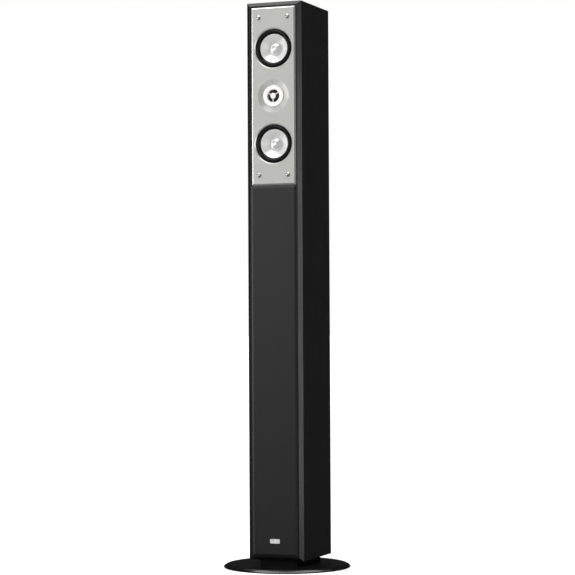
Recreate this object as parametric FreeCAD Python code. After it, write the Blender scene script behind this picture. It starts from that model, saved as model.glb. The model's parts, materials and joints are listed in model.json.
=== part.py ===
import FreeCAD, Part
import math
import os

# Floorstanding loudspeaker: a slim tower on a round steel foot.
# Millimetres. Origin on the floor at the centre of the round foot, +Z up, the front faces -Y.

# ---- driving dimensions -------------------------------------------------------------------
cabinet_width = 108.0
cabinet_depth = 150.0
cabinet_top = 1048.0
cabinet_bottom = 17.0
cabinet_front = -59.0       # the flat front of the baffle
panel = 9.0                 # side, top, bottom and back panels
chamfer = 7.0               # 45 degree chamfer all round the front
baffle_backing = 8.0        # rear layer of the baffle, inside the panels
edge_softening = 0.8

foot_radius = 118.0
pad_height = 1.4
foot_top = 7.1
foot_roll = 23.0            # radial width of the foot's rolled edge

pocket_depth = 3.2          # the pocket in the baffle that holds both pieces of trim
pocket_gap = 0.3
trim_half_width = 44.4      # driver plate and lower front panel
trim_bevel = 3.5            # width of the sloped border on both
driver_plate_thickness = 3.0
driver_plate_bevel_depth = 1.7
driver_plate_bottom = 708.0
driver_plate_top = 1039.3
lower_panel_thickness = 4.9
lower_panel_bevel_depth = 1.5
lower_panel_bottom = 26.0
lower_panel_top = 707.4

tweeter_height = 873.5
driver_spacing = 88.3
woofer_heights = {"lower_woofer": tweeter_height - driver_spacing,
                  "upper_woofer": tweeter_height + driver_spacing}

port_height = 540.0
terminal_height = 105.0
post_spacing = 19.0

# ---- planes worked out from them ----------------------------------------------------------
cabinet_back = cabinet_front + cabinet_depth
shell_front = cabinet_front + chamfer
baffle_back = shell_front + baffle_backing
half_width = cabinet_width / 2
inner_half_width = half_width - panel
inner_bottom = cabinet_bottom + panel
inner_top = cabinet_top - panel
back_inset = 1.0
back_panel_rear = cabinet_back - back_inset
back_panel_front = back_panel_rear - panel
pocket_floor = cabinet_front + pocket_depth
lower_panel_front = pocket_floor - lower_panel_thickness

# The driver plate and the drivers are drawn with their seat at cabinet_front, then moved back
# by pocket_depth onto the pocket's floor, which is what seated() does.
trim_front = cabinet_front - driver_plate_thickness

# ---- woofer, as radii and as places along Y -------------------------------------------------
plate_hole_radius = 36.0
plate_hole_bevel = 1.9
rebate_radius = 42.0
rebate_floor = cabinet_front + 3.0
basket_hole_radius = 36.5
flange_thickness = 1.2
basket_flange_radius = 41.5
basket_flange_front = rebate_floor - flange_thickness
surround_flange_front = basket_flange_front - 0.8
surround_flange_radius = 37.4
woofer_screw_radius = 39.4
cone_radius = 26.5
cap_radius = 12.5
former_radius = 10.3
former_thickness = 0.3
winding_radius = 10.7
pole_radius = 9.5
gap_radius = 11.2
top_plate_front = -25.8
top_plate_thickness = 4.0
magnet_thickness = 12.0
magnet_radius = 30.0
yoke_thickness = 5.0
spider_shelf = -38.0
terminal_tag_x = -35.0

# ---- tweeter ------------------------------------------------------------------------------
dish_radius = 31.0
dish_depth = 2.4
ring_radius = 19.7
tweeter_ring_front = trim_front - 1.2
tweeter_hole_radius = 20.0
tweeter_rebate_radius = 27.5
tweeter_flange_radius = 27.0
tweeter_rebate_floor = cabinet_front + 3.2
tweeter_motor_hole = 22.0
throat_radius = 12.0
tweeter_screw_radius = 23.8
tweeter_motor_front = -55.4
tweeter_motor_radius = 20.0

# ---- fasteners ----------------------------------------------------------------------------
plate_screw_x = 28.5
plate_screw_heights = (727.2, 1019.2)
plate_screw_radius = 1.75
plate_screw_head = 4.0
driver_screw_radius = 1.25

# ---- foot and plinth ----------------------------------------------------------------------
plinth_half_width = 37.0
plinth_front = -46.0
plinth_rear = 80.0
plinth_screw_x = 26.0
plinth_screw_y = (-30.0, 62.0)
plinth_screw_radius = 3.0
plinth_screw_head = 5.5

# ---- rear terminals -------------------------------------------------------------------------
cup_half_width = 34.0
cup_half_height = 38.0
cup_rim = 2.5
recess_half_width = 24.0
recess_half_height = 27.0
recess_floor = 74.0
cup_wall = 2.5
cup_screw_x = 30.0
cup_screw_z = 33.5
cup_screw_radius = 1.5
post_radius = 3.0
post_end = 93.6
post_tail = 64.0
collar_radius = 6.4
collar_end = recess_floor + 3.0
socket_radius = 2.0
socket_depth = 14.0
contact_gap = 0.3
washer_thickness = 1.0
cap_outer_radius = 7.0
thread_clearance = 0.05

# ---- port -----------------------------------------------------------------------------------
port_bore = 16.0
port_wall = 2.5
port_length = 80.0
port_flange_radius = 26.0
port_flare = 6.0

# ---- crossover and wiring -------------------------------------------------------------------
standoff_height = 6.0
board_thickness = 1.6
board_bottom = inner_bottom + standoff_height
board_top = board_bottom + board_thickness
board_half_width = 38.0
board_front = -32.0
board_rear = 62.0
cable_radius = 1.8
lead_radius = 1.2
bend_share = 0.45           # a bend's radius as a share of the shorter run, per tan(half the turn)

AXIS_Y = FreeCAD.Vector(0, 1, 0)
AXIS_Z = FreeCAD.Vector(0, 0, 1)


# ---- helpers --------------------------------------------------------------------------------
def point(x, y, z):
    return FreeCAD.Vector(x, y, z)


def block(x0, x1, y0, y1, z0, z1):
    return Part.makeBox(x1 - x0, y1 - y0, z1 - z0, point(x0, y0, z0))


def rod(radius, y0, y1, x=0.0, z=0.0):
    """A cylinder along Y."""
    return Part.makeCylinder(radius, y1 - y0, point(x, y0, z), AXIS_Y)


def pillar(radius, z0, z1, x=0.0, y=0.0):
    """A cylinder along Z."""
    return Part.makeCylinder(radius, z1 - z0, point(x, y, z0), AXIS_Z)


def ring(inner, outer, y0, y1, x=0.0, z=0.0):
    return rod(outer, y0, y1, x, z).cut(rod(inner, y0, y1, x, z))


def outline(start, steps):
    """A closed face in the XY plane. A step is a point, or a pair (point on an arc, its end)."""
    edges = []
    here = point(*start, 0)
    for step in steps + [start]:
        if isinstance(step[0], tuple):
            through, end = point(*step[0], 0), point(*step[1], 0)
            edges.append(Part.Arc(here, through, end).toShape())
        else:
            end = point(*step, 0)
            if here.distanceToPoint(end) > 1e-9:
                edges.append(Part.LineSegment(here, end).toShape())
        here = end
    return Part.Face(Part.Wire(edges))


def turned(start, steps, x=0.0, z=0.0):
    """A solid of revolution about the line along Y at (x, z); the outline is (radius, y)."""
    solid = outline(start, steps).revolve(point(0, 0, 0), AXIS_Y, 360)
    solid.translate(point(x, 0, z))
    return solid


def turned_upright(start, steps, x=0.0, y=0.0):
    """A solid of revolution about the vertical line at (x, y); the outline is (radius, height)."""
    face = outline(start, steps)
    face.rotate(point(0, 0, 0), point(1, 0, 0), 90)
    solid = face.revolve(point(0, 0, 0), AXIS_Z, 360)
    solid.translate(point(x, y, 0))
    return solid


def dome(radius, rim, apex):
    """The steps of a spherical dome's outline, from its rim to its apex on the axis."""
    centre = (radius ** 2 + rim ** 2 - apex ** 2) / (2 * (rim - apex))
    sphere = abs(apex - centre)
    half_angle = math.asin(radius / sphere) / 2
    middle = (sphere * math.sin(half_angle),
              centre + math.copysign(sphere, apex - centre) * math.cos(half_angle))
    return middle, (0, apex)


def joined(solids):
    return solids[0].fuse(solids[1:]).removeSplitter()


def edges_along(shape, axis, where):
    """The straight edges that run along an axis and whose middle passes the test."""
    found = []
    for edge in shape.Edges:
        ends = edge.Vertexes
        if len(ends) != 2:
            continue
        run = ends[1].Point - ends[0].Point
        if run.Length > 1e-6 and abs(run.normalize().dot(axis)) > 0.999:
            if where(edge.CenterOfMass):
                found.append(edge)
    return found


def seated(shape):
    """A piece drawn on the baffle's front, moved back onto the pocket's floor."""
    moved = shape.copy()
    moved.translate(AXIS_Y * pocket_depth)
    return moved


def at_plane(shape, y):
    """The edges that lie wholly in the plane at y."""
    return [edge for edge in shape.Edges
            if abs(edge.BoundBox.YMin - y) < 1e-6 and abs(edge.BoundBox.YMax - y) < 1e-6]


def corners(x_values, z_values):
    return [(x, z) for x in x_values for z in z_values]


def pan_screw(x, z, seat, head_radius, head_height, shank_radius, depth, facing=-1):
    """A screw along Y with a low domed head: facing -1 is driven from the front, +1 from behind."""
    rim = seat + facing * head_height * 0.35
    crown = seat + facing * head_height
    tip = seat - facing * depth
    shoulder = tip + facing * shank_radius
    return turned((0, tip), [(shank_radius * 0.4, tip), (shank_radius, shoulder), (shank_radius, seat),
                             (head_radius, seat), (head_radius, rim), dome(head_radius, rim, crown)], x, z)


def cross_recess(x, z, crown, facing=-1, arm=1.7, depth=1.0):
    """The cross-shaped socket in a screw head."""
    y0, y1 = sorted((crown + facing, crown - facing * depth))
    slots = [block(x - a, x + a, y0, y1, z - b, z + b) for a, b in ((arm, 0.35), (0.35, arm))]
    return joined(slots)


def cable(points, radius):
    """A round cable: straight runs joined by tangent arcs."""
    edges = []
    here = points[0]
    for before, corner, after in zip(points, points[1:], points[2:]):
        back, ahead = before - corner, after - corner
        shorter = min(back.Length, ahead.Length)
        half_turn = (math.pi - back.getAngle(ahead)) / 2
        bend = bend_share * shorter / math.tan(half_turn)
        setback = bend * math.tan(half_turn)
        into = corner + back.normalize() * setback
        out = corner + ahead.normalize() * setback
        inward = (back + ahead).normalize()
        middle = corner + inward * (bend / math.cos(half_turn) - bend)
        edges.append(Part.LineSegment(here, into).toShape())
        edges.append(Part.Arc(into, middle, out).toShape())
        here = out
    edges.append(Part.LineSegment(here, points[-1]).toShape())
    route = Part.Wire(edges)
    section = Part.Wire(Part.makeCircle(radius, points[0], points[1] - points[0]))
    return route.makePipeShell([section], True, False)


# ---- cabinet --------------------------------------------------------------------------------
def front_baffle():
    """Two bonded layers: the chamfered front, and a backing that locates inside the panels."""
    def frame_wire(inset, y):
        x, z0, z1 = half_width - inset, cabinet_bottom + inset, cabinet_top - inset
        return Part.makePolygon([point(-x, y, z0), point(x, y, z0), point(x, y, z1),
                                 point(-x, y, z1), point(-x, y, z0)])

    front_layer = Part.makeLoft([frame_wire(0, shell_front), frame_wire(chamfer, cabinet_front)], True)
    front_layer = front_layer.makeFillet(edge_softening, at_plane(front_layer, cabinet_front))
    backing = block(-inner_half_width, inner_half_width, shell_front, baffle_back, inner_bottom, inner_top)
    baffle = joined([front_layer, backing])
    pocket_x = trim_half_width + pocket_gap
    pocket = block(-pocket_x, pocket_x, cabinet_front - 1, pocket_floor, lower_panel_bottom - pocket_gap,
                   driver_plate_top + pocket_gap)
    cuts = []
    for z in woofer_heights.values():
        cuts.append(rod(rebate_radius, cabinet_front - 1, rebate_floor, 0, z))
        cuts.append(rod(basket_hole_radius, cabinet_front, baffle_back + 1, 0, z))
    cuts.append(rod(tweeter_rebate_radius, cabinet_front - 1, tweeter_rebate_floor, 0, tweeter_height))
    cuts.append(rod(tweeter_motor_hole, cabinet_front, baffle_back + 1, 0, tweeter_height))
    baffle = baffle.cut([pocket] + [seated(cut) for cut in cuts])
    return baffle.cut([seated(driver_plate_screws()), seated(driver_screws())])


def panel_shell():
    """The four-sided carcass before it is split at its mitres."""
    shell = block(-half_width, half_width, shell_front, cabinet_back, cabinet_bottom, cabinet_top)
    shell = shell.makeFillet(edge_softening, edges_along(shell, AXIS_Y, lambda middle: True))
    shell = shell.makeFillet(edge_softening, at_plane(shell, cabinet_back))
    return shell.cut(block(-inner_half_width, inner_half_width, shell_front - 1, cabinet_back + 1,
                           inner_bottom, inner_top))


def mitred(wedge):
    """The part of the carcass inside a wedge, given as four (x, z) corners."""
    loop = [point(x, shell_front, z) for x, z in wedge]
    prism = Part.Face(Part.makePolygon(loop + [loop[0]])).extrude(AXIS_Y * (cabinet_back - shell_front))
    return panel_shell().common(prism)


def side_panel(side):
    return mitred([(side * half_width, cabinet_bottom), (side * inner_half_width, inner_bottom),
                   (side * inner_half_width, inner_top), (side * half_width, cabinet_top)])


def top_panel():
    return mitred([(-half_width, cabinet_top), (half_width, cabinet_top),
                   (inner_half_width, inner_top), (-inner_half_width, inner_top)])


def bottom_panel():
    board = mitred([(-half_width, cabinet_bottom), (half_width, cabinet_bottom),
                    (inner_half_width, inner_bottom), (-inner_half_width, inner_bottom)])
    return board.cut(plinth_screws())


def back_panel():
    board = block(-inner_half_width, inner_half_width, back_panel_front, back_panel_rear,
                  inner_bottom, inner_top)
    port_cut = rod(port_bore + port_wall, back_panel_front - 1, back_panel_rear + 1, 0, port_height)
    cup_x, cup_z = recess_half_width + cup_wall, recess_half_height + cup_wall
    cup_cut = block(-cup_x, cup_x, back_panel_front - 1, back_panel_rear + 1,
                    terminal_height - cup_z, terminal_height + cup_z)
    return board.cut([port_cut, cup_cut, terminal_cup_screws()])


def window_braces():
    """Two horizontal braces, each a shelf with one large window."""
    rim_x, rim_front, rim_rear = 38.0, -36.0, 72.0
    braces = []
    for z in (330.0, 640.0):
        shelf = block(-inner_half_width, inner_half_width, baffle_back, back_panel_front, z, z + panel)
        window = block(-rim_x, rim_x, rim_front, rim_rear, z - 1, z + panel + 1)
        window = window.makeFillet(12.0, edges_along(window, AXIS_Z, lambda middle: True))
        braces.append(shelf.cut(window))
    return Part.makeCompound(braces)


def acoustic_wadding():
    """A block of polyester fibre beside the wiring."""
    wad = block(-16.0, 43.0, -38.0, 76.0, 350.0, 505.0)
    return wad.makeFillet(10.0, edges_along(wad, AXIS_Z, lambda middle: True))


def port_tube():
    """Bass-reflex port: a straight tube with a flange and a flared mouth, glued in from behind."""
    outer = port_bore + port_wall
    lip = back_panel_rear + 3.0
    inner_end = back_panel_rear - port_length
    flare_start = lip - port_flare
    flare_middle = (port_bore + port_flare * (1 - math.cos(math.pi / 4)),
                    flare_start + port_flare * math.sin(math.pi / 4))
    rim_middle = (port_flange_radius - 0.6, lip - 0.6)
    return turned((port_bore, inner_end),
                  [(outer, inner_end), (outer, back_panel_rear), (port_flange_radius, back_panel_rear),
                   (port_flange_radius, lip - 2.0), (rim_middle, (port_flange_radius - 2.0, lip)),
                   (port_bore + port_flare, lip), (flare_middle, (port_bore, flare_start))],
                  0, port_height)


# ---- front trim -----------------------------------------------------------------------------
def trim_blank(z0, z1, front, rear, bevel_depth):
    """A flat plate with a sloped border all round its front."""
    def border(inset, y):
        x = trim_half_width - inset
        return Part.makePolygon([point(-x, y, z0 + inset), point(x, y, z0 + inset),
                                 point(x, y, z1 - inset), point(-x, y, z1 - inset),
                                 point(-x, y, z0 + inset)])

    shoulder = front + bevel_depth
    slab = block(-trim_half_width, trim_half_width, shoulder, rear, z0, z1)
    crown = Part.makeLoft([border(0, shoulder), border(trim_bevel, front)], True)
    return joined([slab, crown])


def woofer_opening(z):
    """The cutter for a woofer's opening, with a bevelled front edge."""
    inner, outer = plate_hole_radius, plate_hole_radius + plate_hole_bevel
    return turned((0, cabinet_front + 1), [(inner, cabinet_front + 1), (inner, trim_front + plate_hole_bevel),
                                           (outer, trim_front), (outer, trim_front - 1),
                                           (0, trim_front - 1)], 0, z)


def tweeter_dish():
    """The cutter for the shallow conical dish round the tweeter."""
    floor = trim_front + dish_depth
    return turned((0, cabinet_front + 1),
                  [(tweeter_hole_radius, cabinet_front + 1), (tweeter_hole_radius, floor),
                   (dish_radius, trim_front), (dish_radius, trim_front - 1), (0, trim_front - 1)],
                  0, tweeter_height)


def driver_plate():
    plate = trim_blank(driver_plate_bottom, driver_plate_top, trim_front, cabinet_front,
                       driver_plate_bevel_depth)
    openings = [woofer_opening(z) for z in woofer_heights.values()]
    return plate.cut(openings + [tweeter_dish(), driver_plate_screws()])


def driver_plate_screws():
    """Four dome-headed wood screws through the driver plate into the baffle."""
    screws = []
    for x, z in corners((-plate_screw_x, plate_screw_x), plate_screw_heights):
        screw = pan_screw(x, z, trim_front, plate_screw_head, 2.3, plate_screw_radius, 12.0)
        screws.append(screw.cut(cross_recess(x, z, trim_front - 2.3)))
    return Part.makeCompound(screws)


def lower_front_panel():
    return trim_blank(lower_panel_bottom, lower_panel_top, lower_panel_front, pocket_floor,
                      lower_panel_bevel_depth)


def badge():
    """A plain blank nameplate with a raised rim."""
    z, half_x, half_z, thickness, rim = 53.0, 9.5, 4.0, 0.9, 0.9
    front = lower_panel_front - thickness
    plaque = block(-half_x, half_x, front, lower_panel_front, z - half_z, z + half_z)
    plaque = plaque.makeFillet(1.6, edges_along(plaque, AXIS_Y, lambda middle: True))
    plaque = plaque.makeFillet(0.25, at_plane(plaque, front))
    field = block(-half_x + rim, half_x - rim, front - 1, front + 0.35, z - half_z + rim, z + half_z - rim)
    field = field.makeFillet(0.8, edges_along(field, AXIS_Y, lambda middle: True))
    return plaque.cut(field)


# ---- foot -----------------------------------------------------------------------------------
def plinth():
    """The spacer block between the foot and the cabinet."""
    body = block(-plinth_half_width, plinth_half_width, plinth_front, plinth_rear, foot_top, cabinet_bottom)
    body = body.makeFillet(3.0, edges_along(body, AXIS_Z, lambda middle: True))
    return body.cut(plinth_screws())


def base_plate():
    """A round steel plate whose rim rolls over to a thin edge."""
    flat_radius = foot_radius - foot_roll
    rim_top = pad_height + 0.7
    drop = foot_top - rim_top
    roll_radius = (foot_roll ** 2 + drop ** 2) / (2 * drop)
    half_angle = math.asin(foot_roll / roll_radius) / 2
    middle = (flat_radius + roll_radius * math.sin(half_angle),
              foot_top - roll_radius * (1 - math.cos(half_angle)))
    disc = turned_upright((0, pad_height), [(foot_radius - 0.5, pad_height), (foot_radius, pad_height + 0.5),
                                            (foot_radius, rim_top), (middle, (flat_radius, foot_top)),
                                            (0, foot_top)])
    counterbores = [pillar(plinth_screw_head + 0.5, 0, pad_height + 3.2, x, y)
                    for x, y in corners((-plinth_screw_x, plinth_screw_x), plinth_screw_y)]
    return disc.cut(counterbores + [plinth_screws()])


def base_pads():
    """Four stick-on rubber pads under the foot."""
    pads = []
    for quarter in range(4):
        angle = math.radians(45 + 90 * quarter)
        pad = pillar(9.0, 0, pad_height, 98 * math.cos(angle), 98 * math.sin(angle))
        pads.append(pad.makeFillet(0.4, [edge for edge in pad.Edges if edge.BoundBox.ZMax < 1e-6]))
    return Part.makeCompound(pads)


def plinth_screws():
    """Four machine screws up through the foot and plinth into the cabinet's floor."""
    screws = []
    for x, y in corners((-plinth_screw_x, plinth_screw_x), plinth_screw_y):
        head = pillar(plinth_screw_head, pad_height + 0.2, pad_height + 3.2, x, y)
        shank = pillar(plinth_screw_radius, pad_height + 3.2, inner_bottom - 2.0, x, y)
        socket = Part.Face(Part.makePolygon(hexagon(2.9, x, y, pad_height))).extrude(AXIS_Z * 2.0)
        screws.append(joined([head, shank]).cut(socket))
    return Part.makeCompound(screws)


def hexagon(radius, x, y, z):
    """A closed hexagon in a horizontal plane."""
    turns = [math.radians(60 * i) for i in range(7)]
    return [point(x + radius * math.cos(a), y + radius * math.sin(a), z) for a in turns]


# ---- woofers --------------------------------------------------------------------------------
def woofer_basket(z):
    """A cast frame: flange, a cone of six legs, the spider's shelf, and the seat of the motor."""
    seat = top_plate_front - flange_thickness
    wall = 1.6
    frame = turned((34.0, basket_flange_front),
                   [(basket_flange_radius, basket_flange_front), (basket_flange_radius, rebate_floor),
                    (36.2, rebate_floor), (26.4, spider_shelf + 1.2), (25.4, seat),
                    (25.4, top_plate_front), (12.5, top_plate_front), (12.5, seat),
                    (25.4 - wall, seat), (24.6, spider_shelf + 1.2), (21.5, spider_shelf + 1.2),
                    (21.5, spider_shelf), (25.4, spider_shelf), (34.0, rebate_floor - 0.2)], 0, z)
    windows = []
    for i in range(6):
        window = block(-8.5, 8.5, rebate_floor + 2.5, spider_shelf - 2.0, 20, 40)
        window.rotate(point(0, 0, 0), AXIS_Y, 60 * i + 30)
        window.translate(point(0, 0, z))
        windows.append(window)
    tag = block(terminal_tag_x - 3, -23.0, seat, top_plate_front, z - 4, z + 4)
    return joined([frame.cut(windows), tag]).cut(driver_screws())


def woofer_surround(z):
    """The rubber half roll between the basket's flange and the back of the cone's rim."""
    flange = surround_flange_front
    return turned((34.6, flange),
                  [(surround_flange_radius, flange), (surround_flange_radius, basket_flange_front),
                   (34.1, basket_flange_front), (34.1, flange + 0.5),
                   ((31.2, -60.3), (27.8, -56.3)), (cone_radius + 0.2, -55.5), (cone_radius - 1.3, -54.7),
                   (cone_radius - 1.3, -55.3), (cone_radius, -56.1), (27.2, -57.0),
                   ((31.0, -60.9), (34.6, flange))], 0, z)


def woofer_cone(z):
    """A gently flared cone with a raised rim."""
    return turned((cone_radius, -57.6),
                  [(cone_radius - 0.6, -57.6), (cone_radius - 0.9, -56.9), ((19.0, -52.3), (11.8, -46.8)),
                   (former_radius, -45.6), (former_radius, -44.8), (12.0, -46.0),
                   ((19.2, -51.5), (cone_radius - 1.0, -55.8)), (cone_radius, -56.1)], 0, z)


def dust_cap(z):
    """A domed cap glued on the cone."""
    rim, apex, skin = -47.3, -53.6, 0.6
    inner_middle, inner_apex = dome(cap_radius - skin, rim, apex + skin)
    return turned((cap_radius, rim), [dome(cap_radius, rim, apex), inner_apex,
                                      (inner_middle, (cap_radius - skin, rim))], 0, z)


def woofer_voice_coil(z):
    """The former, glued in the cone's neck, with its winding in the magnet's gap."""
    gap_middle = top_plate_front + top_plate_thickness / 2
    winding_half = 4.5
    end = gap_middle + winding_half
    return turned((former_radius - former_thickness, -46.4),
                  [(former_radius, -46.4), (former_radius, gap_middle - winding_half),
                   (winding_radius, gap_middle - winding_half), (winding_radius, end),
                   (former_radius - former_thickness, end)], 0, z)


def woofer_spider(z):
    """A cupped, corrugated disc that centres the former in the gap."""
    waves, swing, skin = 6, 0.7, 0.5
    inner, outer = (former_radius, -42.8), (21.5, spider_shelf - 0.6)
    front = []
    for i in range(1, waves):
        share = i / waves
        wave = swing * (-1) ** i
        front.append((inner[0] + share * (outer[0] - inner[0]),
                      inner[1] + share * (outer[1] - inner[1]) + wave))
    back = [(r, y + skin) for r, y in reversed(front)]
    return turned((inner[0], inner[1]), front + [outer, (24.6, outer[1]), (24.6, spider_shelf),
                                                 (21.4, spider_shelf)] + back
                  + [(inner[0], inner[1] + skin)], 0, z)


def woofer_top_plate(z):
    return ring(gap_radius, magnet_radius - 1, top_plate_front, top_plate_front + top_plate_thickness, 0, z)


def woofer_magnet(z):
    front = top_plate_front + top_plate_thickness
    magnet = ring(13.0, magnet_radius, front, front + magnet_thickness, 0, z)
    return magnet.makeFillet(1.0, [edge for edge in magnet.Edges
                                   if len(edge.Vertexes) == 1 and edge.Length > 6 * magnet_radius])


def woofer_yoke(z):
    """The back plate with its pole piece."""
    front = top_plate_front + top_plate_thickness + magnet_thickness
    rear = front + yoke_thickness
    return turned((0, top_plate_front), [(pole_radius, top_plate_front), (pole_radius, front),
                                         (magnet_radius - 1, front), (magnet_radius - 1, rear - 1.5),
                                         (magnet_radius - 2.5, rear), (0, rear)], 0, z)


woofer_parts = {"basket": woofer_basket, "surround": woofer_surround, "cone": woofer_cone,
                "dust_cap": dust_cap, "voice_coil": woofer_voice_coil, "spider": woofer_spider,
                "top_plate": woofer_top_plate, "magnet": woofer_magnet, "yoke": woofer_yoke}


def driver_screws():
    """Four screws per woofer and three for the tweeter, all hidden by the driver plate."""
    screws = []
    for z in woofer_heights.values():
        for i in range(4):
            angle = math.radians(45 + 90 * i)
            screws.append(pan_screw(woofer_screw_radius * math.cos(angle),
                                    z + woofer_screw_radius * math.sin(angle),
                                    basket_flange_front, 1.9, 1.3, driver_screw_radius, 8.0))
    for i in range(3):
        angle = math.radians(90 + 120 * i)
        screws.append(pan_screw(tweeter_screw_radius * math.cos(angle),
                                tweeter_height + tweeter_screw_radius * math.sin(angle),
                                tweeter_rebate_floor - 2.0, 1.9, 1.0, driver_screw_radius, 8.5))
    return Part.makeCompound(screws)


def driver_gaskets():
    """Foam rings that seal each woofer's flange against the back of the driver plate."""
    return Part.makeCompound([ring(plate_hole_radius + 0.3, surround_flange_radius, cabinet_front,
                                   surround_flange_front, 0, z) for z in woofer_heights.values()])


# ---- tweeter --------------------------------------------------------------------------------
def tweeter_faceplate():
    """The bright ring that shows in the dish, with the flange that the screws hold."""
    front = tweeter_ring_front
    flange_front = tweeter_rebate_floor - 2.0
    plate = turned((throat_radius, front + 1.0),
                   [(throat_radius + 0.9, front + 0.15), ((16.0, front + 0.05), (ring_radius - 0.7, front)),
                    ((ring_radius - 0.2, front + 0.2), (ring_radius, front + 0.7)),
                    (ring_radius, flange_front), (tweeter_flange_radius, flange_front),
                    (tweeter_flange_radius, tweeter_rebate_floor), (21.5, tweeter_rebate_floor),
                    (21.5, tweeter_motor_front), (13.6, tweeter_motor_front),
                    (13.6, tweeter_motor_front - 0.4), (throat_radius, tweeter_motor_front - 0.4)],
                   0, tweeter_height)
    return plate.cut([tweeter_phase_plug(), driver_screws()])


def tweeter_phase_plug():
    """A small disc held in front of the dome by three spokes let into the ring."""
    rim, thickness = tweeter_ring_front + 0.9, 1.0
    disc = turned((0, rim + 0.4), [(4.8, rim + 0.4), (5.4, rim), dome(5.4, rim, rim - thickness)],
                  0, tweeter_height)
    spokes = []
    for angle in (30, 150, 270):
        spoke = block(4.4, 15.5, rim - 0.85, rim + 0.15, -0.7, 0.7)
        spoke.rotate(point(0, 0, 0), AXIS_Y, -angle)
        spoke.translate(point(0, 0, tweeter_height))
        spokes.append(spoke)
    return joined([disc] + spokes)


def tweeter_dome():
    """The soft dome, its half-roll edge and the rim that the faceplate clamps."""
    skin, rim, apex = 0.35, tweeter_motor_front - 0.35, -59.3
    inner_rim = (9.65, rim + 0.1)
    inner_middle, inner_apex = dome(*inner_rim, apex + skin)
    return turned((13.4, rim + skin),
                  [(13.4, rim), (11.4, rim), ((10.65, rim - 0.75), (9.9, rim)), dome(9.9, rim, apex),
                   inner_apex, (inner_middle, inner_rim), (9.9, rim + skin + 0.1),
                   ((10.65, rim - 0.35), (11.3, rim + skin))], 0, tweeter_height)


def tweeter_voice_coil():
    return ring(9.7, 10.2, tweeter_motor_front + 0.15, tweeter_motor_front + 4.2, 0, tweeter_height)


def tweeter_top_plate():
    return ring(10.7, tweeter_motor_radius, tweeter_motor_front, tweeter_motor_front + 2.0, 0, tweeter_height)


def tweeter_magnet():
    front = tweeter_motor_front + 2.0
    return ring(12.0, tweeter_motor_radius, front, front + 7.0, 0, tweeter_height)


def tweeter_yoke():
    """Back plate and pole piece, with the terminal tag riveted on."""
    front = tweeter_motor_front + 9.0
    rear = front + 3.0
    pole = tweeter_motor_front + 0.6
    yoke = turned((0, pole), [(9.3, pole), (9.3, front), (tweeter_motor_radius, front),
                              (tweeter_motor_radius, rear - 1), (tweeter_motor_radius - 1, rear), (0, rear)],
                  0, tweeter_height)
    tag = block(-27.0, -12.0, rear, rear + 1.2, tweeter_height - 4, tweeter_height + 4)
    return joined([yoke, tag])


tweeter_parts = {"faceplate": tweeter_faceplate, "phase_plug": tweeter_phase_plug, "dome": tweeter_dome,
                 "voice_coil": tweeter_voice_coil, "top_plate": tweeter_top_plate,
                 "magnet": tweeter_magnet, "yoke": tweeter_yoke}


# ---- terminals ------------------------------------------------------------------------------
def terminal_cup():
    """A moulded cup let into the back panel."""
    z = terminal_height
    rim_rear = back_panel_rear + cup_rim
    rim = block(-cup_half_width, cup_half_width, back_panel_rear, rim_rear, z - cup_half_height,
                z + cup_half_height)
    rim = rim.makeFillet(4.0, edges_along(rim, AXIS_Y, lambda middle: True))
    rim = rim.makeFillet(0.9, at_plane(rim, rim_rear))
    outer_x, outer_z = recess_half_width + cup_wall, recess_half_height + cup_wall
    cup = block(-outer_x, outer_x, recess_floor - cup_wall, back_panel_rear, z - outer_z, z + outer_z)
    pocket = block(-recess_half_width, recess_half_width, recess_floor, rim_rear + 1,
                   z - recess_half_height, z + recess_half_height)
    pocket = pocket.makeFillet(4.0, edges_along(pocket, AXIS_Y, lambda middle: True))
    pocket = pocket.makeFillet(1.2, at_plane(pocket, recess_floor))
    holes = [rod(post_radius, recess_floor - 5, recess_floor + 5, x, z) for x in post_places().values()]
    return joined([rim, cup]).cut([pocket, terminal_cup_screws()] + holes)


def terminal_cup_screws():
    screws = []
    for x, dz in corners((-cup_screw_x, cup_screw_x), (-cup_screw_z, cup_screw_z)):
        z = terminal_height + dz
        seat = back_panel_rear + cup_rim
        screw = pan_screw(x, z, seat, 2.9, 1.8, cup_screw_radius, 10.0, 1)
        screws.append(screw.cut(cross_recess(x, z, seat + 1.8, 1, 1.4, 0.9)))
    return Part.makeCompound(screws)


def post_places():
    """Where each binding post stands, along X."""
    return {"positive": -post_spacing / 2, "negative": post_spacing / 2}


def binding_post(x):
    """A brass post with a collar outside the cup and a 4 mm socket in its end."""
    return turned((0, post_tail), [(post_radius, post_tail), (post_radius, recess_floor),
                                   (collar_radius, recess_floor), (collar_radius, collar_end - 0.6),
                                   (collar_radius - 0.6, collar_end), (post_radius, collar_end),
                                   (post_radius, post_end), (socket_radius, post_end),
                                   (socket_radius, post_end - socket_depth), (0, post_end - socket_depth)],
                  x, terminal_height)


def clamp_washer(x):
    """The loose washer that the cap presses on the wire."""
    near = collar_end + contact_gap
    return ring(post_radius + 0.2, collar_radius - 0.3, near, near + washer_thickness, x, terminal_height)


def post_cap(x):
    """A fluted thumb nut that screws along the post."""
    near = collar_end + contact_gap + washer_thickness + contact_gap
    bore, outer = post_radius + thread_clearance, cap_outer_radius
    body = turned((bore, near), [(outer - 0.9, near), (outer, near + 0.9), (outer, post_end - 1.4),
                                 ((outer - 0.4, post_end - 0.4), (outer - 1.4, post_end)), (bore, post_end)])
    flutes = []
    for i in range(16):
        angle = 2 * math.pi * i / 16
        flutes.append(rod(0.9, near - 1, post_end - 2.6, (outer + 0.35) * math.cos(angle),
                          (outer + 0.35) * math.sin(angle)))
    cap = body.cut(flutes)
    cap.translate(point(x, 0, terminal_height))
    return cap


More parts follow.
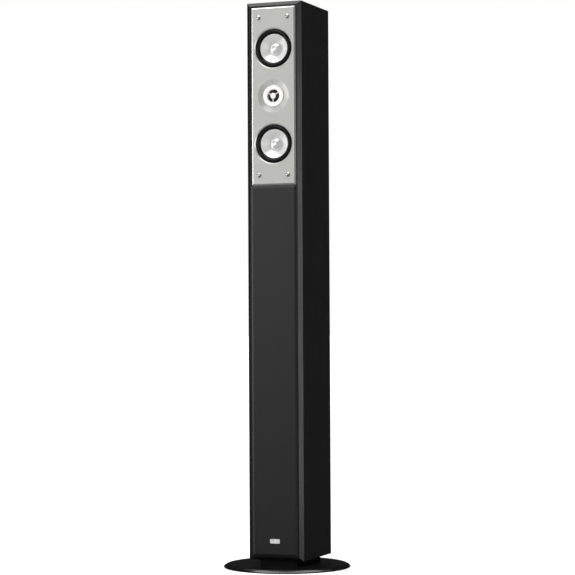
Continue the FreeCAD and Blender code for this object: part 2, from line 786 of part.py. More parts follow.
def terminal_nuts():
    """Hexagon nuts that hold the posts from inside."""
    nuts = []
    for x in post_places().values():
        loop = [point(p.x + x, recess_floor - cup_wall - 3.0, p.y + terminal_height)
                for p in hexagon(5.8, 0, 0, 0)]
        nut = Part.Face(Part.makePolygon(loop)).extrude(AXIS_Y * 3.0)
        nuts.append(nut.cut(rod(post_radius, recess_floor - 9, recess_floor, x, terminal_height)))
    return Part.makeCompound(nuts)


# ---- crossover and wiring -------------------------------------------------------------------
def crossover_board():
    return block(-board_half_width, board_half_width, board_front, board_rear, board_bottom, board_top)


def crossover_standoffs():
    return Part.makeCompound([pillar(3.0, inner_bottom, board_bottom, x, y)
                              for x, y in corners((-34.0, 34.0), (-27.0, 57.0))])


def crossover_inductor():
    """An air-cored coil on a flanged bobbin."""
    base, height = board_top, 16.0
    top = base + height
    return turned_upright((6.0, base), [(15.0, base), (15.0, base + 1.2), (13.8, base + 1.2),
                                        (13.8, top - 1.2), (15.0, top - 1.2), (15.0, top), (6.0, top)],
                          14.0, -10.0)


def crossover_capacitors():
    """Two film capacitors lying on the board."""
    body_radius, length = 8.0, 30.0
    cans = []
    for start in (-28.0, 11.0):
        can = rod(body_radius, start, start + length, -13.0, board_top + body_radius)
        cans.append(can.makeFillet(1.2, [edge for edge in can.Edges if len(edge.Vertexes) == 1]))
    return Part.makeCompound(cans)


def crossover_resistor():
    resistor = block(8.0, 17.0, 18.0, 42.0, board_top, board_top + 9.0)
    return resistor.makeFillet(0.8, edges_along(resistor, AXIS_Y, lambda middle: middle.z > board_top + 1))


def driver_harness():
    """One two-core cable to each driver, from the crossover up the back of the cabinet."""
    woofer_tag = top_plate_front + pocket_depth
    tweeter_tag = tweeter_motor_front + 13.2 + pocket_depth
    ends = [(-35.0, 46.0, woofer_tag, woofer_heights["lower_woofer"]),
            (-35.0, 54.0, woofer_tag, woofer_heights["upper_woofer"]),
            (-24.0, 46.0, tweeter_tag, tweeter_height)]
    routes = [[point(x, y, board_top), point(x, y, z), point(x, y_end, z)] for x, y, y_end, z in ends]
    return Part.makeCompound([cable(route, cable_radius) for route in routes])


def input_leads():
    """The two leads from the binding posts to the crossover."""
    y = 50.0
    return Part.makeCompound([cable([point(x, post_tail, terminal_height), point(x, y, terminal_height),
                                     point(x, y, board_top)], lead_radius)
                              for x in post_places().values()])


# ---- every node -----------------------------------------------------------------------------
def all_parts():
    parts = {
        "front_baffle": front_baffle(), "left_side_panel": side_panel(-1),
        "right_side_panel": side_panel(1), "top_panel": top_panel(), "bottom_panel": bottom_panel(),
        "back_panel": back_panel(), "window_braces": window_braces(),
        "acoustic_wadding": acoustic_wadding(), "port_tube": port_tube(),
        "driver_plate": seated(driver_plate()), "driver_plate_screws": seated(driver_plate_screws()),
        "lower_front_panel": lower_front_panel(), "badge": badge(),
        "plinth": plinth(), "base_plate": base_plate(), "base_pads": base_pads(),
        "plinth_screws": plinth_screws(),
        "driver_screws": seated(driver_screws()), "driver_gaskets": seated(driver_gaskets()),
        "terminal_cup": terminal_cup(), "terminal_cup_screws": terminal_cup_screws(),
        "terminal_nuts": terminal_nuts(),
        "crossover_board": crossover_board(), "crossover_standoffs": crossover_standoffs(),
        "crossover_inductor": crossover_inductor(), "crossover_capacitors": crossover_capacitors(),
        "crossover_resistor": crossover_resistor(),
        "driver_harness": driver_harness(), "input_leads": input_leads(),
    }
    for name, build in tweeter_parts.items():
        parts["tweeter_" + name] = seated(build())
    for woofer, z in woofer_heights.items():
        for name, build in woofer_parts.items():
            parts[woofer + "_" + name] = seated(build(z))
    for pole, x in post_places().items():
        parts[pole + "_post"] = binding_post(x)
        parts[pole + "_washer"] = clamp_washer(x)
        parts[pole + "_cap"] = post_cap(x)
    return parts


os.makedirs("parts", exist_ok=True)
for node, shape in all_parts().items():
    if not shape.isValid() or not shape.Solids:
        raise ValueError(node + " is not a valid solid")
    shape.exportStep("parts/" + node + ".step")
    print(node, len(shape.Solids), "solids", round(shape.Volume / 1000, 2), "cm3")
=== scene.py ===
import math

import bmesh
import bpy
from mathutils import Matrix, Vector, noise
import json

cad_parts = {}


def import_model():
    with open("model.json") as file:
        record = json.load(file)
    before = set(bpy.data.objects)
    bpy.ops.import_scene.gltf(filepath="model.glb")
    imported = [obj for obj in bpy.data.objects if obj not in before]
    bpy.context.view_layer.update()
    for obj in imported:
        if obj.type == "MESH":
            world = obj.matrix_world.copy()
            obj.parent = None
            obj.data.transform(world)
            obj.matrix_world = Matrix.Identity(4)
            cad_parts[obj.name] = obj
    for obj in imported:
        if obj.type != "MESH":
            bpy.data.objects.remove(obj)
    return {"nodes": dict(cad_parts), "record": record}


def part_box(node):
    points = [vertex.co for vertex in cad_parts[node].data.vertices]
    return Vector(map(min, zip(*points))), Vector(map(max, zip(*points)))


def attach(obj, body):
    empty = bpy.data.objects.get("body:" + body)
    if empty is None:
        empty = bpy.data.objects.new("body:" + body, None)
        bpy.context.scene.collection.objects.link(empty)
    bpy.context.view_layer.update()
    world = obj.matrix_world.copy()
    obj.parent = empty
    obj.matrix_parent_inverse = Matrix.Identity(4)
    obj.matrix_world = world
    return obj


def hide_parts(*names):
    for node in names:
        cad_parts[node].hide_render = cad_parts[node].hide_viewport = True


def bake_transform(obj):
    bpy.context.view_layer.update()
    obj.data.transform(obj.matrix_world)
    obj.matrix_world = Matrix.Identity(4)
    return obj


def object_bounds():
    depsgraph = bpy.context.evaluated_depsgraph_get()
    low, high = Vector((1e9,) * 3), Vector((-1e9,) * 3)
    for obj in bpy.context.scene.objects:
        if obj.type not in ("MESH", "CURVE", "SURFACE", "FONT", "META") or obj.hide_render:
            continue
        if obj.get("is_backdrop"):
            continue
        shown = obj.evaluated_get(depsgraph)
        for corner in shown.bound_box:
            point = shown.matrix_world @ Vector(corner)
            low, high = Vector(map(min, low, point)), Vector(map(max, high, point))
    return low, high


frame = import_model()
cad_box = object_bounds()

MM = 0.001
WOOFERS = ("lower_woofer", "upper_woofer")


# ---- places, read from the CAD ----------------------------------------------------------------
def middle(node):
    low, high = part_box(node)
    return (low + high) / 2


# ---- materials ----------------------------------------------------------------------------------
class Finish:
    """A material with its node tree, and short ways to add the nodes that most finishes share."""

    def __init__(self, name, base, roughness, metallic=0.0, **sockets):
        self.material = bpy.data.materials.new(name)
        self.material.use_nodes = True
        self.nodes = self.material.node_tree.nodes
        self.links = self.material.node_tree.links
        self.shader = self.nodes["Principled BSDF"]
        self.base = base
        self.set("Base Color", (*base, 1))
        self.set("Roughness", roughness)
        self.set("Metallic", metallic)
        for socket, value in sockets.items():
            self.set(socket.replace("_", " "), value)
        self.material.diffuse_color = (*base, 1)

    def set(self, socket, value):
        self.shader.inputs[socket].default_value = value

    def node(self, kind, **values):
        made = self.nodes.new(kind)
        for name, value in values.items():
            if name in made.inputs:
                made.inputs[name].default_value = value
            else:
                setattr(made, name, value)
        return made

    def join(self, out, into):
        self.links.new(out, into)
        return self

    def place(self, scale):
        """Object coordinates in metres, stretched: a large number is fine detail along that axis."""
        coordinates = self.node("ShaderNodeTexCoord")
        mapping = self.node("ShaderNodeMapping")
        mapping.inputs["Scale"].default_value = scale
        self.join(coordinates.outputs["Object"], mapping.inputs["Vector"])
        return mapping.outputs["Vector"]

    def noise(self, scale, detail=4.0, roughness=0.55, distortion=0.0):
        texture = self.node("ShaderNodeTexNoise", Detail=detail, Roughness=roughness, Distortion=distortion)
        texture.inputs["Scale"].default_value = 1.0
        self.join(self.place(scale), texture.inputs["Vector"])
        return texture.outputs["Fac"]

    def cells(self, scale, feature="F1"):
        texture = self.node("ShaderNodeTexVoronoi")
        texture.feature = feature
        texture.inputs["Scale"].default_value = 1.0
        self.join(self.place(scale), texture.inputs["Vector"])
        return texture.outputs["Distance"]

    def ramp(self, value, stops):
        ramp = self.node("ShaderNodeValToRGB")
        elements = ramp.color_ramp.elements
        while len(elements) < len(stops):
            elements.new(0.5)
        for element, (position, colour) in zip(elements, stops):
            element.position = position
            element.color = (*colour, 1) if len(colour) == 3 else colour
        self.join(value, ramp.inputs["Fac"])
        return ramp.outputs["Color"]

    def span(self, value, low, high, from_low=0.3, from_high=0.7):
        """The value's middle stretch mapped to low..high."""
        spread = self.node("ShaderNodeMapRange")
        ends = {"From Min": from_low, "From Max": from_high, "To Min": low, "To Max": high}
        for socket, number in ends.items():
            spread.inputs[socket].default_value = number
        self.join(value, spread.inputs["Value"])
        return spread.outputs["Result"]

    def tint(self, value, dark, light, from_low=0.3, from_high=0.7):
        """The base colour, from dark times it to light times it, by the value."""
        low = tuple(min(1, c * dark) for c in self.base)
        high = tuple(min(1, c * light) for c in self.base)
        self.join(self.ramp(value, [(from_low, low), (from_high, high)]), self.shader.inputs["Base Color"])
        return self

    def rough(self, value, low, high):
        return self.join(self.span(value, low, high), self.shader.inputs["Roughness"])

    def bump(self, value, height_mm, strength=1.0):
        """Height in millimetres. A second call adds to the first."""
        bump = self.node("ShaderNodeBump")
        bump.inputs["Strength"].default_value = strength
        bump.inputs["Distance"].default_value = height_mm * MM
        self.join(value, bump.inputs["Height"])
        normal = self.shader.inputs["Normal"]
        if normal.is_linked:
            self.join(normal.links[0].from_socket, bump.inputs["Normal"])
        self.join(bump.outputs["Normal"], normal)
        return self

    def facing_front(self):
        """How squarely a surface faces the front or the back: 1 when it is square on."""
        coordinates, parts = self.node("ShaderNodeTexCoord"), self.node("ShaderNodeSeparateXYZ")
        self.join(coordinates.outputs["Normal"], parts.inputs["Vector"])
        return self.math("ABSOLUTE", parts.outputs["Y"])

    def math(self, operation, *values):
        """A math node: each value is a number or the output of another node."""
        made = self.node("ShaderNodeMath", operation=operation)
        for socket, value in zip(made.inputs, values):
            if isinstance(value, bpy.types.NodeSocket):
                self.join(value, socket)
            else:
                socket.default_value = value
        return made.outputs["Value"]


def black_ash(name, base, roughness, depth=0.05, **sockets):
    """Black ash foil: long vertical grain with short open pores."""
    finish = Finish(name, base, roughness, **sockets)
    grain = finish.noise((520, 520, 9), detail=6, roughness=0.62, distortion=0.4)
    pores = finish.cells((900, 900, 38))
    finish.tint(grain, 0.55, 1.6)
    finish.rough(grain, roughness + 0.07, roughness - 0.05)
    return finish.bump(grain, depth).bump(pores, depth * 0.7, 0.6)


def raw_board():
    """Bare fibreboard, where the foil doesn't cover it."""
    finish = Finish("raw_board", (0.42, 0.30, 0.19), 0.85)
    fibres = finish.noise((700, 700, 700), detail=8)
    return finish.tint(fibres, 0.75, 1.15).bump(fibres, 0.06)


def wadding():
    """Loose white fibre."""
    finish = Finish("wadding", (0.78, 0.78, 0.75), 0.95, Sheen_Weight=0.4)
    fibres = finish.noise((260, 420, 90), detail=10, roughness=0.7, distortion=2.0)
    return finish.tint(fibres, 0.7, 1.15).bump(fibres, 0.9)


def moulded(name, base, roughness=0.45, texture=0.03, **sockets):
    """Injection-moulded plastic with a fine spark-eroded texture."""
    finish = Finish(name, base, roughness, **sockets)
    grains = finish.cells((2600, 2600, 2600))
    patches = finish.noise((40, 40, 40))
    finish.tint(patches, 0.85, 1.2).rough(patches, roughness - 0.05, roughness + 0.06)
    return finish.bump(grains, texture)


def silver_plate():
    """Blasted, anodised aluminium; bright-cut bevels with a painted highlight in their colour; a lathe-spun
    dish round the tweeter.
    """
    blasted, bright_cut_highlight_colour = (0.455, 0.46, 0.432), (0.86, 0.86, 0.84)
    metallic, metallic_gain = 0.55, 0.40
    smoothest, roughest, gloss_gain = 0.40, 0.52, 0.24
    dish_edge, dish_outside = 30.6 * MM, 31.2 * MM
    dish_whitening, dish_gloss, dish_anisotropy = 0.55, 0.85, 0.9
    cloudiness, cloud_dark, cloud_light = 0.1, 0.97, 1.03

    finish = Finish("silver_plate", blasted, 0.46, metallic)
    blasting = finish.noise((3400, 3400, 3400), detail=3)
    clouds = finish.noise((14, 14, 10), detail=3)
    # How bright-cut a surface is, with a painted highlight in its base colour: fully on the border's
    # bevels, a quarter where steeper, not on the flat.
    stops = [(0.78, 0.25), (0.86, 1.0), (0.92, 1.0), (0.96, 0.0)]
    cut_and_highlight = finish.ramp(finish.facing_front(), [(facing, (share,) * 3) for facing, share in stops])

    axis = middle("tweeter_faceplate")
    outward = finish.node("ShaderNodeVectorMath", operation="SUBTRACT")
    finish.join(finish.place((1, 0, 1)), outward.inputs[0])
    outward.inputs[1].default_value = (0, 0, axis.z)
    radius = finish.node("ShaderNodeVectorMath", operation="LENGTH")
    finish.join(outward.outputs["Vector"], radius.inputs[0])
    spun = finish.span(radius.outputs["Value"], 1.0, 0.0, dish_edge, dish_outside)
    finish.join(outward.outputs["Vector"], finish.shader.inputs["Tangent"])
    finish.join(finish.math("MULTIPLY", spun, dish_anisotropy), finish.shader.inputs["Anisotropic"])

    white = finish.math("MAXIMUM", cut_and_highlight, finish.math("MULTIPLY", spun, dish_whitening))
    shade = finish.math("MULTIPLY_ADD", clouds, cloudiness, white)
    # The bevels' lighter base colour is a painted highlight as well as their bright-cut finish.
    colours = [(0.03, tuple(c * cloud_dark for c in blasted)),
               (0.07, tuple(c * cloud_light for c in blasted)), (1.0, bright_cut_highlight_colour)]
    finish.join(finish.ramp(shade, colours), finish.shader.inputs["Base Color"])
    bright = finish.math("MAXIMUM", cut_and_highlight, finish.math("MULTIPLY", spun, dish_gloss))
    grain = finish.span(blasting, smoothest, roughest)
    finish.join(finish.math("MULTIPLY_ADD", bright, -gloss_gain, grain), finish.shader.inputs["Roughness"])
    bareness = finish.math("MULTIPLY_ADD", bright, metallic_gain, metallic)
    finish.join(bareness, finish.shader.inputs["Metallic"])
    return finish.bump(blasting, 0.012)


def bright_screw():
    """Nickel plate with fine wear."""
    finish = Finish("bright_screw", (0.72, 0.70, 0.66), 0.18, 1.0)
    wear = finish.noise((900, 900, 900), detail=5)
    return finish.tint(wear, 0.85, 1.08).rough(wear, 0.12, 0.28)


def graphite_panel():
    """Satin graphite lacquer with a faint vertical brush."""
    finish = Finish("graphite_panel", (0.0078, 0.0072, 0.0075), 0.40)
    brush = finish.noise((1100, 1100, 7), detail=5)
    flakes = finish.noise((2400, 2400, 2400), detail=2)
    finish.tint(brush, 0.8, 1.25).rough(brush, 0.36, 0.46)
    return finish.bump(brush, 0.012).bump(flakes, 0.006)


def brushed(name, base, roughness, lines, depth=0.01, metallic=1.0):
    """Metal with a brush or turning mark; lines is how fine the marks are along each axis."""
    finish = Finish(name, base, roughness, metallic)
    strokes = finish.noise(lines, detail=4)
    finish.tint(strokes, 0.85, 1.1).rough(strokes, roughness - 0.06, roughness + 0.08)
    return finish.bump(strokes, depth)


def enamel(name, base, roughness, texture=0.015, **sockets):
    """Stoved enamel: a faint orange peel under a little dust-fine variation."""
    finish = Finish(name, base, roughness, **sockets)
    peel = finish.noise((420, 420, 420), detail=2)
    smudges = finish.noise((22, 22, 22), detail=5)
    finish.tint(smudges, 0.8, 1.25).rough(smudges, roughness - 0.04, roughness + 0.07)
    return finish.bump(peel, texture)


def rubber(name, base, roughness, **sockets):
    """Rubber or foam, with a faint cloudy bloom on a fine-grained skin."""
    finish = Finish(name, base, roughness, **sockets)
    bloom = finish.noise((90, 90, 90), detail=5)
    skin = finish.noise((2200, 2200, 2200), detail=3)
    finish.tint(bloom, 0.75, 1.4).rough(bloom, roughness - 0.08, roughness + 0.08)
    return finish.bump(skin, 0.012)


def pearl(name, base, roughness, metallic, flake=0.004):
    """Mica-loaded coating: soft sheen with tiny flakes."""
    finish = Finish(name, base, roughness, metallic, Coat_Weight=0.25, Coat_Roughness=0.2)
    flakes = finish.cells((3000, 3000, 3000))
    clouds = finish.noise((60, 60, 60))
    finish.tint(clouds, 0.96, 1.04).rough(flakes, roughness - 0.05, roughness + 0.06)
    return finish.bump(flakes, flake)


def woven(name, base, roughness=0.8, pitch=0.5):
    """A fine plain weave; the pitch sets how coarse it is."""
    bands = 160 / pitch
    finish = Finish(name, base, roughness, Sheen_Weight=0.3)
    waves = []
    for axis in ("X", "Z"):
        wave = finish.node("ShaderNodeTexWave", bands_direction=axis)
        wave.inputs["Scale"].default_value = 1.0
        finish.join(finish.place((bands,) * 3), wave.inputs["Vector"])
        waves.append(wave.outputs["Fac"])
    return finish.tint(waves[0], 0.8, 1.15).bump(waves[0], 0.08).bump(waves[1], 0.08)


def copper_winding():
    """Enamelled wire, turn beside turn."""
    finish = Finish("copper_winding", (0.60, 0.26, 0.11), 0.28, 0.9, Coat_Weight=0.5)
    wave = finish.node("ShaderNodeTexWave", bands_direction="Z")
    wave.inputs["Scale"].default_value = 1.0
    finish.join(finish.place((300, 300, 300)), wave.inputs["Vector"])
    patches = finish.noise((200, 200, 200))
    return finish.tint(patches, 0.8, 1.2).bump(wave.outputs["Fac"], 0.25)


FINISHES = {
    "black_chamfer": lambda: black_ash("black_chamfer", (0.005, 0.005, 0.0055), 0.26, 0.02,
                                       Specular_IOR_Level=0.24),
    "black_ash": lambda: black_ash("black_ash", (0.0055, 0.0055, 0.006), 0.40),
    "black_ash_back": lambda: black_ash("black_ash_back", (0.009, 0.009, 0.009), 0.46),
    "raw_board": raw_board,
    "wadding": wadding,
    "black_plastic": lambda: moulded("black_plastic", (0.014, 0.014, 0.014)),
    "silver_plate": silver_plate,
    "bright_screw": bright_screw,
    "graphite_panel": graphite_panel,
    "badge_metal": lambda: brushed("badge_metal", (0.74, 0.74, 0.74), 0.3, (2600, 60, 60), metallic=0.4),
    "plinth_black": lambda: enamel("plinth_black", (0.002, 0.002, 0.002), 0.45, Specular_IOR_Level=0.15),
    "base_enamel": lambda: enamel("base_enamel", (0.003, 0.003, 0.0033), 0.16, 0.008),
    "pad_rubber": lambda: rubber("pad_rubber", (0.012, 0.012, 0.012), 0.7),
    "zinc_steel": lambda: brushed("zinc_steel", (0.60, 0.61, 0.63), 0.34, (500, 500, 500)),
    "foam_black": lambda: rubber("foam_black", (0.015, 0.015, 0.015), 0.9),
    "pearl_ring": lambda: pearl("pearl_ring", (0.64, 0.63, 0.62), 0.30, 0.0),
    "dome_silk": lambda: woven("dome_silk", (0.012, 0.012, 0.013), 0.55, 0.25),
    "copper_winding": copper_winding,
    "ferrite": lambda: enamel("ferrite", (0.045, 0.045, 0.05), 0.55, 0.03),
    "brass_part": lambda: brushed("brass_part", (0.83, 0.60, 0.24), 0.2, (900, 900, 900)),
    "black_screw": lambda: enamel("black_screw", (0.02, 0.02, 0.02), 0.35),
    "board_laminate": lambda: enamel("board_laminate", (0.03, 0.13, 0.05), 0.35),
    "nylon_white": lambda: moulded("nylon_white", (0.78, 0.78, 0.74), 0.5),
    "capacitor_film": lambda: enamel("capacitor_film", (0.62, 0.48, 0.06), 0.25),
    "resistor_ceramic": lambda: enamel("resistor_ceramic", (0.80, 0.78, 0.70), 0.8),
    "cable_jacket": lambda: moulded("cable_jacket", (0.02, 0.02, 0.022), 0.5),
    "red_plastic": lambda: moulded("red_plastic", (0.42, 0.012, 0.010), 0.25, 0.01, Coat_Weight=0.5),
    "cap_black_plastic": lambda: moulded("cap_black_plastic", (0.010, 0.010, 0.010), 0.25, 0.01,
                                         Coat_Weight=0.5),
    "basket_cast": lambda: enamel("basket_cast", (0.02, 0.02, 0.02), 0.5, 0.04),
    "surround_rubber": lambda: rubber("surround_rubber", (0.0015, 0.0015, 0.0017), 0.17,
                                      Specular_IOR_Level=0.25),
    "pearl_cone": lambda: pearl("pearl_cone", (0.75, 0.745, 0.74), 0.28, 0.50),
    "polished_cap": lambda: pearl("polished_cap", (0.84, 0.84, 0.84), 0.16, 0.65, 0.001),
    "spider_cloth": lambda: woven("spider_cloth", (0.45, 0.28, 0.08)),
}
materials = {name: make().material for name, make in FINISHES.items()}


def finish_cad_nodes():
    """Each CAD node takes the material of its slot in the record."""
    for subpart in frame["record"]["subparts"]:
        mesh = frame["nodes"][subpart["node"]].data
        mesh.materials.clear()
        mesh.materials.append(materials[subpart["material_slot"]])


# ---- mesh building ------------------------------------------------------------------------------
def arc(start, through, end, steps):
    """Points on the circle through three (radius, y) points, both ends included."""
    (ax, ay), (bx, by), (cx, cy) = start, through, end
    d = 2 * (ax * (by - cy) + bx * (cy - ay) + cx * (ay - by))
    a2, b2, c2 = ax * ax + ay * ay, bx * bx + by * by, cx * cx + cy * cy
    ux = (a2 * (by - cy) + b2 * (cy - ay) + c2 * (ay - by)) / d
    uy = (a2 * (cx - bx) + b2 * (ax - cx) + c2 * (bx - ax)) / d
    radius = math.hypot(ax - ux, ay - uy)
    angles = [math.atan2(y - uy, x - ux) for x, y in (start, through, end)]
    sweep = (angles[2] - angles[0]) % math.tau
    if (angles[1] - angles[0]) % math.tau > sweep:
        sweep -= math.tau
    return [(ux + radius * math.cos(angles[0] + sweep * i / steps),
             uy + radius * math.sin(angles[0] + sweep * i / steps)) for i in range(steps + 1)]


def lathe(name, profile, centre, slot, body=None, segments=128):
    """A closed profile of (radius, y) in millimetres, turned about the line along Y through the centre."""
    mesh = bmesh.new()
    rings = []
    for radius, y in profile:
        rings.append([mesh.verts.new((centre.x + radius * MM * math.cos(math.tau * i / segments), y * MM,
                                      centre.z + radius * MM * math.sin(math.tau * i / segments)))
                      for i in range(segments)])
    for ring, after in zip(rings, rings[1:] + rings[:1]):
        for i in range(segments):
            j = (i + 1) % segments
            mesh.faces.new((ring[i], ring[j], after[j], after[i]))
    return finished(name, mesh, slot, body)


def finished(name, mesh, slot, body=None, sharp_degrees=35):
    """Turns a bmesh into a named piece with its material, smooth except at sharp edges."""
    bmesh.ops.remove_doubles(mesh, verts=mesh.verts, dist=1e-6)
    bmesh.ops.recalc_face_normals(mesh, faces=mesh.faces)
    for face in mesh.faces:
        face.smooth = True
    for edge in mesh.edges:
        edge.smooth = edge.calc_face_angle(0) < math.radians(sharp_degrees)
    data = bpy.data.meshes.new(name)
    mesh.to_mesh(data)
    mesh.free()
    data.materials.append(materials[slot])
    piece = bpy.data.objects.new(name, data)
    bpy.context.scene.collection.objects.link(piece)
    if body:
        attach(piece, body)
    return piece


# ---- woofers --------------------------------------------------------------------------------------
def seat_of_drivers():
    """The plane of the baffle's pocket, where the driver plate and the drivers sit, in millimetres."""
    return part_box("driver_plate")[1].y / MM


def on_seat(profile):
    """A profile whose depth is measured from the drivers' seat, moved to its place along Y."""
    seat = seat_of_drivers()
    return [(radius, depth + seat) for radius, depth in profile]


def woofer_soft_parts(woofer):
    """The surround as two half rolls that meet at the crest, and the spider."""
    centre = middle(woofer + "_surround")
    centre.x = 0
    skin = 0.6
    crest, inner_edge = (31.0, -1.9), (27.3, 2.2)
    crest_back = (crest[0], crest[1] + skin)
    outer = lathe(woofer + "_surround_outer",
                  on_seat(arc(crest, (33.4, -1.0), (34.6, 1.0), 12)
                          + [(37.4, 1.0), (37.4, 1.8), (34.1, 1.8)]
                          + arc((34.05, 1.5), (32.9, -0.5), crest_back, 12)),
                  centre, "surround_rubber", "cabinet")
    inner = lathe(woofer + "_surround_inner",
                  on_seat(arc(inner_edge, (28.3, -0.7), crest, 14)
                          + arc(crest_back, (28.8, -0.3), (27.9, 2.7), 14)
                          + [(26.8, 3.6), (25.2, 4.3), (25.2, 3.75), (26.5, 2.95)]),
                  centre, "surround_rubber")
    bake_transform(inner)
    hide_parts(woofer + "_surround")

    hub, shelf, cloth = (10.35, 16.2), (21.5, 20.4), 0.4
    waves, steps, swing = 3, 60, 0.7
    front = []
    for i in range(steps + 1):
        share = i / steps
        front.append((hub[0] + share * (shelf[0] - hub[0]),
                      hub[1] + share * (shelf[1] - hub[1]) + swing * math.sin(share * math.tau * waves)))
    back = [(radius, depth + cloth) for radius, depth in reversed(front)]
    rim = [(24.6, shelf[1] + 0.1), (24.6, shelf[1] + 0.55)]
    spider = lathe(woofer + "_spider_cloth", on_seat(front + rim + back), centre, "spider_cloth")
    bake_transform(spider)
    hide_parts(woofer + "_spider")


def tweeter_soft_parts():
    """The dome, and its edge as two half rolls that meet at the crest."""
    centre = middle("tweeter_dome")
    centre.x = 0
    rim, skin = 3.25, 0.3
    dome_front = [(0.02, -0.3)] + arc((0.6, -0.294), (5.4, 0.65), (9.9, rim), 24)
    dome_back = [(radius * 0.975, depth + skin) for radius, depth in reversed(dome_front)]
    dome = lathe("tweeter_dome_silk", on_seat(dome_front + dome_back),
                 centre, "dome_silk", "tweeter_diaphragm")
    crest = (10.65, rim - 0.75)
    crest_back = (crest[0], crest[1] + skin)
    lathe("tweeter_edge_outer",
          on_seat(arc(crest, (11.18, rim - 0.53), (11.4, rim), 6) + [(13.4, rim), (13.4, rim + skin)]
                  + arc((11.2, rim + skin), (11.0, rim - 0.25), crest_back, 6)),
          centre, "dome_silk", "cabinet")
    inner = lathe("tweeter_edge_inner",
                  on_seat(arc((9.9, rim), (10.12, rim - 0.53), crest, 6)
                          + arc(crest_back, (10.3, rim - 0.25), (10.1, rim + skin), 6)),
                  centre, "dome_silk")
    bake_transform(inner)
    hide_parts("tweeter_dome")


# ---- foot -------------------------------------------------------------------------------------------
def ring(mesh, radius, z, segments, x=0.0, y=0.0):
    """The vertices of a level circle about (x, y). Its measures are in millimetres."""
    return [mesh.verts.new(((x + radius * math.cos(math.tau * i / segments)) * MM,
                            (y + radius * math.sin(math.tau * i / segments)) * MM, z * MM))
            for i in range(segments)]


def bridge(mesh, rings):
    """The faces between each ring and the next, and a flat face that closes the last ring."""
    for below, above in zip(rings, rings[1:]):
        for i in range(len(below)):
            j = (i + 1) % len(below)
            mesh.faces.new((below[i], below[j], above[j], above[i]))
    mesh.faces.new(rings[-1])


def foot_plate():
    """The round foot: flat on top, its rim rolled down to a thin edge, counterbored from below."""
    low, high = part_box("base_plate")
    edge, bottom, top = -low.x / MM, low.z / MM, high.z / MM
    roll, lip, edge_break, flat = 11.0, 0.7, 0.5, 2.0
    drop = top - bottom - lip
    roll_radius = (roll ** 2 + drop ** 2) / (2 * drop)
    half_angle = math.asin(roll / roll_radius) / 2
    half_way = (edge - roll + roll_radius * math.sin(half_angle),
                top - roll_radius * (1 - math.cos(half_angle)))
    profile = ([(edge - edge_break, bottom), (edge, bottom + edge_break)]
               + arc((edge, bottom + lip), half_way, (edge - roll, top), 18) + [(edge - roll - flat, top)])
    mesh = bmesh.new()
    bridge(mesh, [ring(mesh, radius, z, 256) for radius, z in profile])

    head_radius, clearance, depth = 5.5, 0.5, 3.2
    screws_low, screws_high = (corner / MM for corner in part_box("plinth_screws"))
    for x in (screws_low.x + head_radius, screws_high.x - head_radius):
        for y in (screws_low.y + head_radius, screws_high.y - head_radius):
            bridge(mesh, [ring(mesh, head_radius + clearance, z, 32, x, y)
                          for z in (bottom, bottom + depth)])
    open_edges = [seam for seam in mesh.edges if len(seam.link_faces) == 1]
    bmesh.ops.triangle_fill(mesh, edges=open_edges, use_beauty=True)
    plate = finished("foot_plate", mesh, "base_enamel", "cabinet")
    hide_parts("base_plate")


# ---- wadding --------------------------------------------------------------------------------------
def wadding_batt():
    """A loose batt of fibre, rounded at its corners and lumpy all over, inside its CAD block."""
    low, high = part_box("acoustic_wadding")
    centre, half = (low + high) / 2, (high - low) / 2
    squareness, fullness, lumpiness, lumps = 0.45, 0.93, 0.07, 3.1
    mesh = bmesh.new()
    bmesh.ops.create_icosphere(mesh, subdivisions=5, radius=1.0)
    for vertex in mesh.verts:
        direction = vertex.co.copy()
        boxed = Vector([math.copysign(abs(c) ** squareness, c) for c in direction])
        boxed = Vector([max(-1, min(1, c * fullness)) for c in boxed])
        lump = fullness + lumpiness * noise.fractal(direction * lumps, 1.0, 2.1, 4)
        vertex.co = centre + Vector([b * h * min(1.0, lump) for b, h in zip(boxed, half)])
    batt = finished("wadding_batt", mesh, "wadding", "cabinet", 80)
    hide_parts("acoustic_wadding")


# ---- stage ----------------------------------------------------------------------------------------
def floor():
    bpy.ops.mesh.primitive_plane_add(size=160)
    plane = bpy.context.object
    plane.name = "stage_floor"
    paper = Finish("stage_paper", (0.86, 0.86, 0.86), 0.9)
    paper.set("Specular IOR Level", 0.0)
    plane.data.materials.append(paper.material)
    plane.visible_glossy = False
    plane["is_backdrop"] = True


def softbox(name, aim, direction, distance, width, height, radiance):
    """A rectangular lamp that faces the aim point from a direction. The camera doesn't see it."""
    data = bpy.data.lights.new(name, "AREA")
    data.shape = "RECTANGLE"
    data.size, data.size_y = width, height
    data.energy = radiance * math.pi * width * height
    lamp = bpy.data.objects.new(name, data)
    bpy.context.scene.collection.objects.link(lamp)
    toward = Vector(direction).normalized()
    lamp.location = Vector(aim) + toward * distance
    lamp.rotation_euler = toward.to_track_quat("Z", "Y").to_euler()
    lamp.visible_camera = False


def lights():
    """A broad overhead light, and softboxes that the bevels, chamfers and rims reflect."""
    sun = bpy.data.lights.new("overhead", "SUN")
    sun.energy = 3.2
    sun.angle = math.radians(64)
    lamp = bpy.data.objects.new("overhead", sun)
    bpy.context.scene.collection.objects.link(lamp)
    softbox("front_left", (0, 0, 0.80), (-0.45, -0.89, 0.13), 2.6, 1.6, 1.5, 1.15)
    softbox("far_left", (0, 0, 0.62), (-0.92, -0.39, 0.02), 2.4, 0.8, 1.5, 3.0)
    softbox("right_strip", (0, 0, 0.56), (0.93, -0.367, 0.0), 2.4, 0.7, 1.55, 5.0)
    softbox("overhead_front", (0, 0, 0.88), (-0.34, -0.45, 0.82), 2.2, 2.9, 1.1, 1.8)
    softbox("rear_right", (0, 0, 0.55), (0.6, 0.6, 0.9), 3.0, 1.2, 1.0, 0.8)
    softbox("rear_left", (0, 0, 0.55), (-0.6, 0.6, 0.9), 3.0, 1.2, 1.0, 0.8)


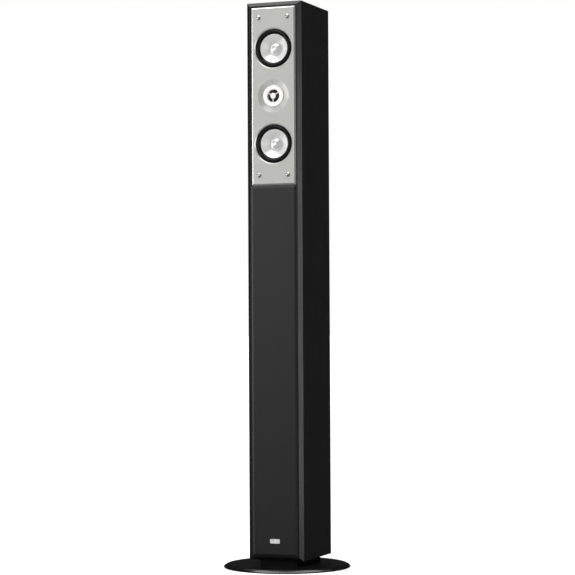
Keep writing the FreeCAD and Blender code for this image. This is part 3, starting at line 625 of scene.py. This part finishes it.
def world():
    """White to the camera, soft for diffuse light, and dim in reflections, as in a dark studio."""
    sky = bpy.data.worlds.new("studio")
    bpy.context.scene.world = sky
    sky.use_nodes = True
    nodes, links = sky.node_tree.nodes, sky.node_tree.links
    nodes.clear()
    path = nodes.new("ShaderNodeLightPath")
    white, fill, dim = (nodes.new("ShaderNodeBackground") for _ in range(3))
    white.inputs["Strength"].default_value = 1.0
    fill.inputs["Strength"].default_value = 0.55
    direction, parts = nodes.new("ShaderNodeTexCoord"), nodes.new("ShaderNodeSeparateXYZ")
    front = nodes.new("ShaderNodeMapRange")
    front.interpolation_type = "SMOOTHSTEP"
    behind, ahead, darkest, brightest = 0.1, -0.75, 0.02, 0.17
    ends = {"From Min": behind, "From Max": ahead, "To Min": darkest, "To Max": brightest}
    for socket, value in ends.items():
        front.inputs[socket].default_value = value
    links.new(direction.outputs["Generated"], parts.inputs["Vector"])
    links.new(parts.outputs["Y"], front.inputs["Value"])
    links.new(front.outputs["Result"], dim.inputs["Strength"])
    for background in (white, fill, dim):
        background.inputs["Color"].default_value = (1, 1, 1, 1)
    by_gloss, by_camera = nodes.new("ShaderNodeMixShader"), nodes.new("ShaderNodeMixShader")
    links.new(path.outputs["Is Glossy Ray"], by_gloss.inputs["Fac"])
    links.new(fill.outputs[0], by_gloss.inputs[1])
    links.new(dim.outputs[0], by_gloss.inputs[2])
    links.new(path.outputs["Is Camera Ray"], by_camera.inputs["Fac"])
    links.new(by_gloss.outputs[0], by_camera.inputs[1])
    links.new(white.outputs[0], by_camera.inputs[2])
    output = nodes.new("ShaderNodeOutputWorld")
    links.new(by_camera.outputs[0], output.inputs["Surface"])


def camera():
    """A long lens to the right of the front, just below the middle of the object's height."""
    eye = Vector((1.424, -3.609, 0.449))
    azimuth, pitch, roll = math.radians(21.486), math.radians(1.055), math.radians(-0.285)
    ahead = Vector((-math.sin(azimuth) * math.cos(pitch),
                    math.cos(azimuth) * math.cos(pitch), math.sin(pitch)))
    level = Vector((math.cos(azimuth), math.sin(azimuth), 0))
    above = level.cross(ahead)
    right = level * math.cos(roll) + above * math.sin(roll)
    up = above * math.cos(roll) - level * math.sin(roll)
    data = bpy.data.cameras.new("camera")
    data.sensor_width, data.lens = 36, 130
    data.clip_end = 200
    shot = bpy.data.objects.new("camera", data)
    bpy.context.scene.collection.objects.link(shot)
    turn = Matrix((right, up, -ahead)).transposed().to_4x4()
    shot.matrix_world = Matrix.Translation(eye) @ turn
    bpy.context.scene.camera = shot


finish_cad_nodes()
for woofer in WOOFERS:
    woofer_soft_parts(woofer)
tweeter_soft_parts()
foot_plate()
wadding_batt()
floor()
lights()
world()
camera()
bpy.context.scene.view_settings.view_transform = "Standard"

visual_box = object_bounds()
lines = ["[" + ", ".join(str([round(v, 5) for v in corner]) for corner in box) + "]"
         for box in (cad_box, visual_box)]
